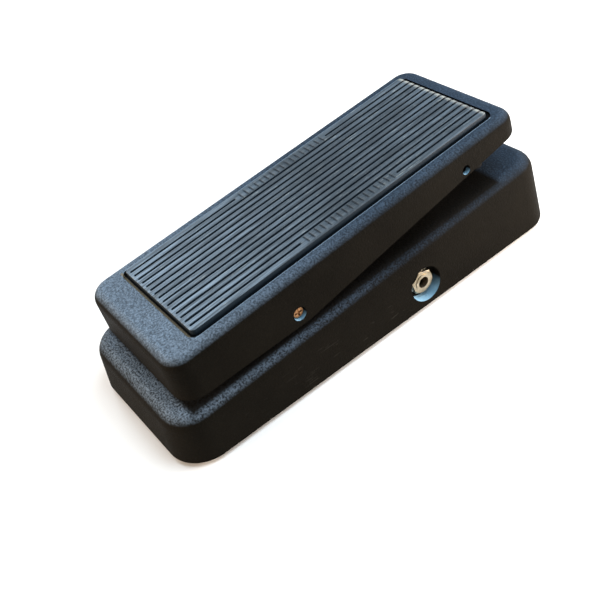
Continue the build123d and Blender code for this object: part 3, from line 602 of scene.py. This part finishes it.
def ribbed_pad(material):
    """Tread pad with rounded ribs, a closed lip at the heel, rolled rib ends at the toe and bar panels."""
    axes = treadle_axes()
    low, high = local_box("tread_pad", axes)
    mesh = bmesh.new()
    rows = pad_top(mesh, low, high)
    for a, b in zip(rows, rows[1:]):
        for i in range(len(a) - 1):
            mesh.faces.new((a[i], a[i + 1], b[i + 1], b[i]))
    rim = rows[0] + [r[-1] for r in rows[1:-1]] + rows[-1][::-1] + [r[0] for r in rows[-2:0:-1]]
    foot = [mesh.verts.new((v.co.x, v.co.y, low.z)) for v in rim]
    for i in range(len(rim)):
        j = (i + 1) % len(rim)
        mesh.faces.new((rim[j], rim[i], foot[i], foot[j]))
    mesh.faces.new(foot[::-1])
    bmesh.ops.remove_doubles(mesh, verts=mesh.verts, dist=WELD)
    bmesh.ops.recalc_face_normals(mesh, faces=mesh.faces)
    data = bpy.data.meshes.new("ribbed_pad")
    mesh.to_mesh(data)
    mesh.free()
    for face in data.polygons:
        face.use_smooth = True
    pad = bpy.data.objects.new("ribbed_pad", data)
    bpy.context.scene.collection.objects.link(pad)
    pad.matrix_world = axes
    data.materials.append(material)
    data.set_sharp_from_angle(angle=math.radians(SHARP_ANGLE))
    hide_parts("tread_pad")
    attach(pad, "treadle")


# ---- Where the shells are scratched or dirty, and where they get painted shade, highlights and reflections ----
def hole_boxes(centre, radius, near, far):
    """Boxes round the lower half of a hole on both sides of the pedal."""
    y0, y1, z0 = centre.y - radius, centre.y + radius, centre.z - radius
    return [((near, y0, z0), (far, y1, centre.z)), ((-far, y0, z0), (-near, y1, centre.z))]


def base_scuffs(jack, side_x):
    """Two scratched stretches of the right-hand side, heelward of the jack."""
    return [((side_x - 10 * MM, jack.y - 50 * MM, 4 * MM),
             (side_x + 1 * MM, jack.y - 16 * MM, 14 * MM), (60, 90, 900)),
            ((side_x - 10 * MM, jack.y - 115 * MM, 6 * MM),
             (side_x + 1 * MM, jack.y - 60 * MM, 20 * MM), (60, 70, 1400))]


def gap_lines(gap_heel, gap_toe, edge_x):
    """Tan dirt on the recess's floor at the heel, and painted highlights along its two sides."""
    lines = [((-edge_x, gap_heel.y + 0.3 * MM, gap_heel.z - 3.0 * MM),
              (edge_x - 3 * MM, gap_heel.y + 1.5 * MM, gap_heel.z + 1.0 * MM), 0.2 * MM, TAN_DIRT)]
    # Painted highlights along the recess's two side edges.
    for x in (edge_x, -edge_x - 0.25 * MM):
        lines.append(((x - 0.1 * MM, gap_heel.y + 2 * MM, gap_heel.z - 1 * MM),
                      (x + 0.35 * MM, gap_toe.y - 3 * MM, gap_toe.z + 1 * MM), 0.15 * MM, EDGE_HIGHLIGHT))
    return lines


def paint_base(treadle_low, treadle_high):
    """Housing, with painted shade under the treadle, scuffs on its side and a painted sky reflection in the jack
    cups.
    """
    side_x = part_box("base_housing")[1][0]
    base_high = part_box("base_housing")[1]
    jack = Vector(next(m for m in record["mounts"] if m["name"] == "input_socket")["pos_m"])
    # Painted sky reflection in the jack cups.
    cups = hole_boxes(jack, CUP_RADIUS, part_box("input_jack_washer")[0].x, side_x)
    # Painted shade on the housing's top under the treadle.
    shaded = [((-treadle_high.x + 1.5 * MM, treadle_low.y + 3 * MM, 0),
               (treadle_high.x - 1.5 * MM, treadle_high.y - 20 * MM, base_high.z + 20 * MM), 3 * MM)]
    paint("base_housing", powder_coat("cast_shell", HOUSING_TOE_DUST_AND_SHEEN, HOUSING_PITS,
                                      base_scuffs(jack, side_x), shaded=shaded, lit_hole_walls=cups))


def paint_treadle(axes, pad_low, pad_high, treadle_high):
    """Treadle, with painted shade in the recess round the pad, its dirt, painted highlights along its edges, and
    painted reflections in the side holes.
    """
    up = axes.to_3x3() @ Vector((0, 0, 1))
    tread_z = pad_high.z - PAD_PROUD
    gap_heel = axes @ Vector((0, pad_low.y - PAD_GAP, tread_z))
    gap_toe = axes @ Vector((0, pad_high.y + PAD_GAP, tread_z))
    edge_x = pad_high.x + PAD_GAP
    # The recess gets painted shade on its sunken floor.
    recess = ((-edge_x, gap_heel.y, gap_heel.z - 3 * MM), (edge_x, gap_toe.y, gap_toe.z + 1 * MM),
              tuple(up), up.dot(gap_heel))
    pin_low, pin_high = local_box("rack_pin", axes)
    pin = axes @ pin_low.lerp(pin_high, 0.5)
    # Painted sky reflection on the walls of the pivot and pin holes.
    holes = [box for centre, radius in ((pivot, SCREW_HOLE_RADIUS), (pin, PIN_HOLE_RADIUS))
             for box in hole_boxes(centre, radius, treadle_high.x - HOLE_DEPTH, treadle_high.x)]
    paint("treadle_shell", powder_coat("treadle_coat", TREADLE_TOE_DUST_AND_SHEEN, TREADLE_PITS, lit_hole_walls=holes,
                                       lines=gap_lines(gap_heel, gap_toe, edge_x), recess=recess))


def paint_small_parts():
    """Rubber, metal, plastic and leads by material slot; the feet share the bumpers' slot but are dustier."""
    foot_rubber = rubber("foot_rubber", (0.018, 0.018, 0.019), 0.2)
    by_slot = {
        "foot_rubber": rubber("bumper_rubber", (0.006, 0.006, 0.006), 0.03),
        "zinc_steel": metal("zinc_steel", (0.60, 0.61, 0.62), (0.34, 0.34, 0.33), 0.30),
        "nickel": metal("nickel", (0.50, 0.43, 0.32), (0.28, 0.23, 0.15), 0.30),
        "brass_parts": metal("brass_parts", (0.42, 0.22, 0.10), (0.16, 0.08, 0.04), 0.36),
        "nylon": plastic("nylon", (0.72, 0.70, 0.64), (0.60, 0.58, 0.52), 0.5),
        "fibre": plastic("fibre", (0.20, 0.10, 0.055), (0.13, 0.06, 0.035), 0.6),
        "signal_lead": plastic("signal_lead", (0.50, 0.03, 0.03), (0.40, 0.02, 0.02), 0.35),
        "return_lead": plastic("return_lead", (0.72, 0.70, 0.64), (0.62, 0.60, 0.55), 0.35),
        "ground_lead": plastic("ground_lead", (0.020, 0.020, 0.020), (0.012, 0.012, 0.012), 0.35),
    }
    for part in record["subparts"]:
        if part["material_slot"] in by_slot:
            paint(part["node"], by_slot[part["material_slot"]])
    paint("rubber_feet", foot_rubber)


camera()
studio()

axes = treadle_axes()
pad_low, pad_high = local_box("tread_pad", axes)
treadle_low, treadle_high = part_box("treadle_shell")
paint_base(treadle_low, treadle_high)
paint_treadle(axes, pad_low, pad_high, treadle_high)
ribbed_pad(pad_rubber("pad_rubber", pad_low, pad_high))
paint("bottom_plate", powder_coat("plate_paint", PLATE_TOE_DUST_AND_SHEEN, PLATE_PITS))
paint_small_parts()
